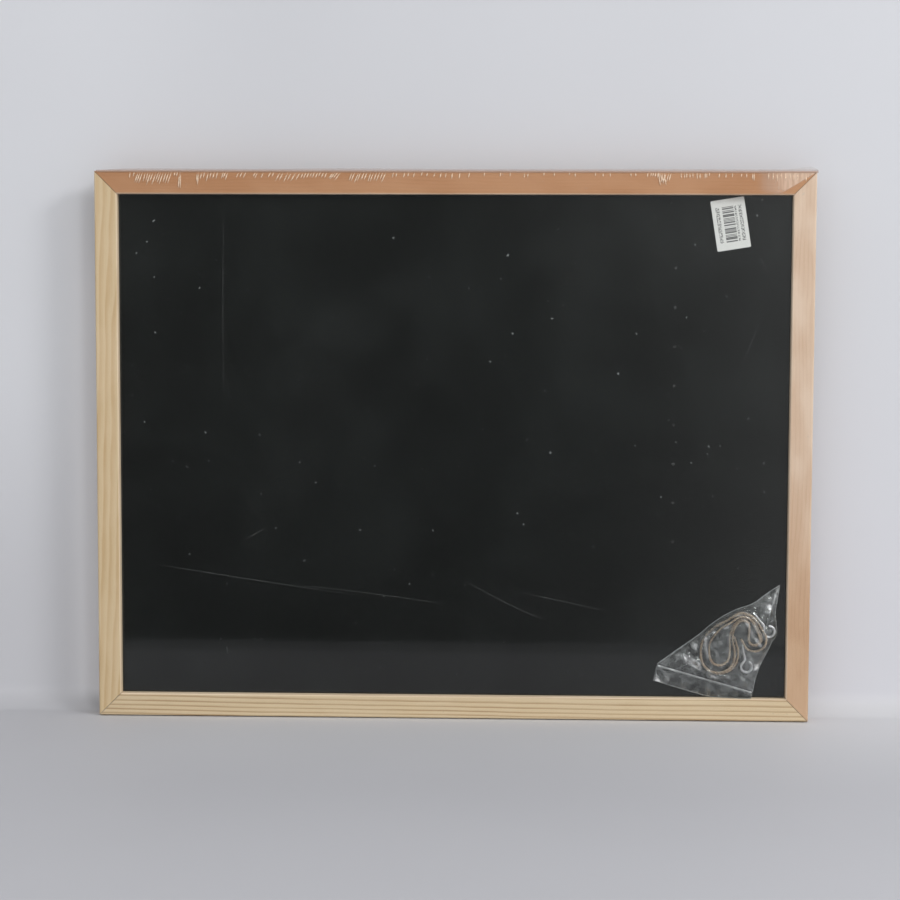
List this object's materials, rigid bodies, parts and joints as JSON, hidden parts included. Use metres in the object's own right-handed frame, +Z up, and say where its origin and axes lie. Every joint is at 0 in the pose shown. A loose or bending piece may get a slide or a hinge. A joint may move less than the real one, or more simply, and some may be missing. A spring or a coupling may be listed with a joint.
{
  "type": "framed chalkboard",
  "caption": "Small black chalkboard in a mitred natural wood frame, with item label and a clear zip bag of twine and screw eyes in its recess, in clear shrink film.",
  "frame": {"origin": "on the surface that the wrapped board stands on, below the middle of its width and depth", "axes": "+X along the width to the right as seen from the front, +Y towards the back, +Z up"},
  "size_m": [0.4276, 0.0126, 0.3276],
  "materials": {
    "pine_straw": "planed, unvarnished",
    "pine_pink": "planed, unvarnished",
    "chalk_surface": "satin black laminate",
    "hardboard": "smooth pressed fibre",
    "nail_steel": "bare rolled strip",
    "zinc_wire": "bright zinc plate",
    "label_paper": "uncoated white",
    "clear_film": "clear polyethylene film",
    "wrap_film": "clear shrink film",
    "jute": "two-ply twisted fibre"
  },
  "bodies": {
    "root": {"bottom_rail": "pine_straw", "right_stile": "pine_pink", "top_rail": "pine_pink", "left_stile": "pine_straw", "v_nail_bottom_left_inner": "nail_steel", "v_nail_bottom_left_outer": "nail_steel", "v_nail_bottom_right_inner": "nail_steel", "v_nail_bottom_right_outer": "nail_steel", "v_nail_top_right_inner": "nail_steel", "v_nail_top_right_outer": "nail_steel", "v_nail_top_left_inner": "nail_steel", "v_nail_top_left_outer": "nail_steel", "writing_sheet": "chalk_surface", "panel_core": "hardboard", "item_label": "label_paper", "zip_bag": "clear_film", "zip_rib_track": "clear_film", "zip_groove_track": "clear_film", "screw_eye_a": "zinc_wire", "screw_eye_b": "zinc_wire", "hanging_twine": "jute", "shrink_film": "wrap_film"}
  },
  "joints": []
}
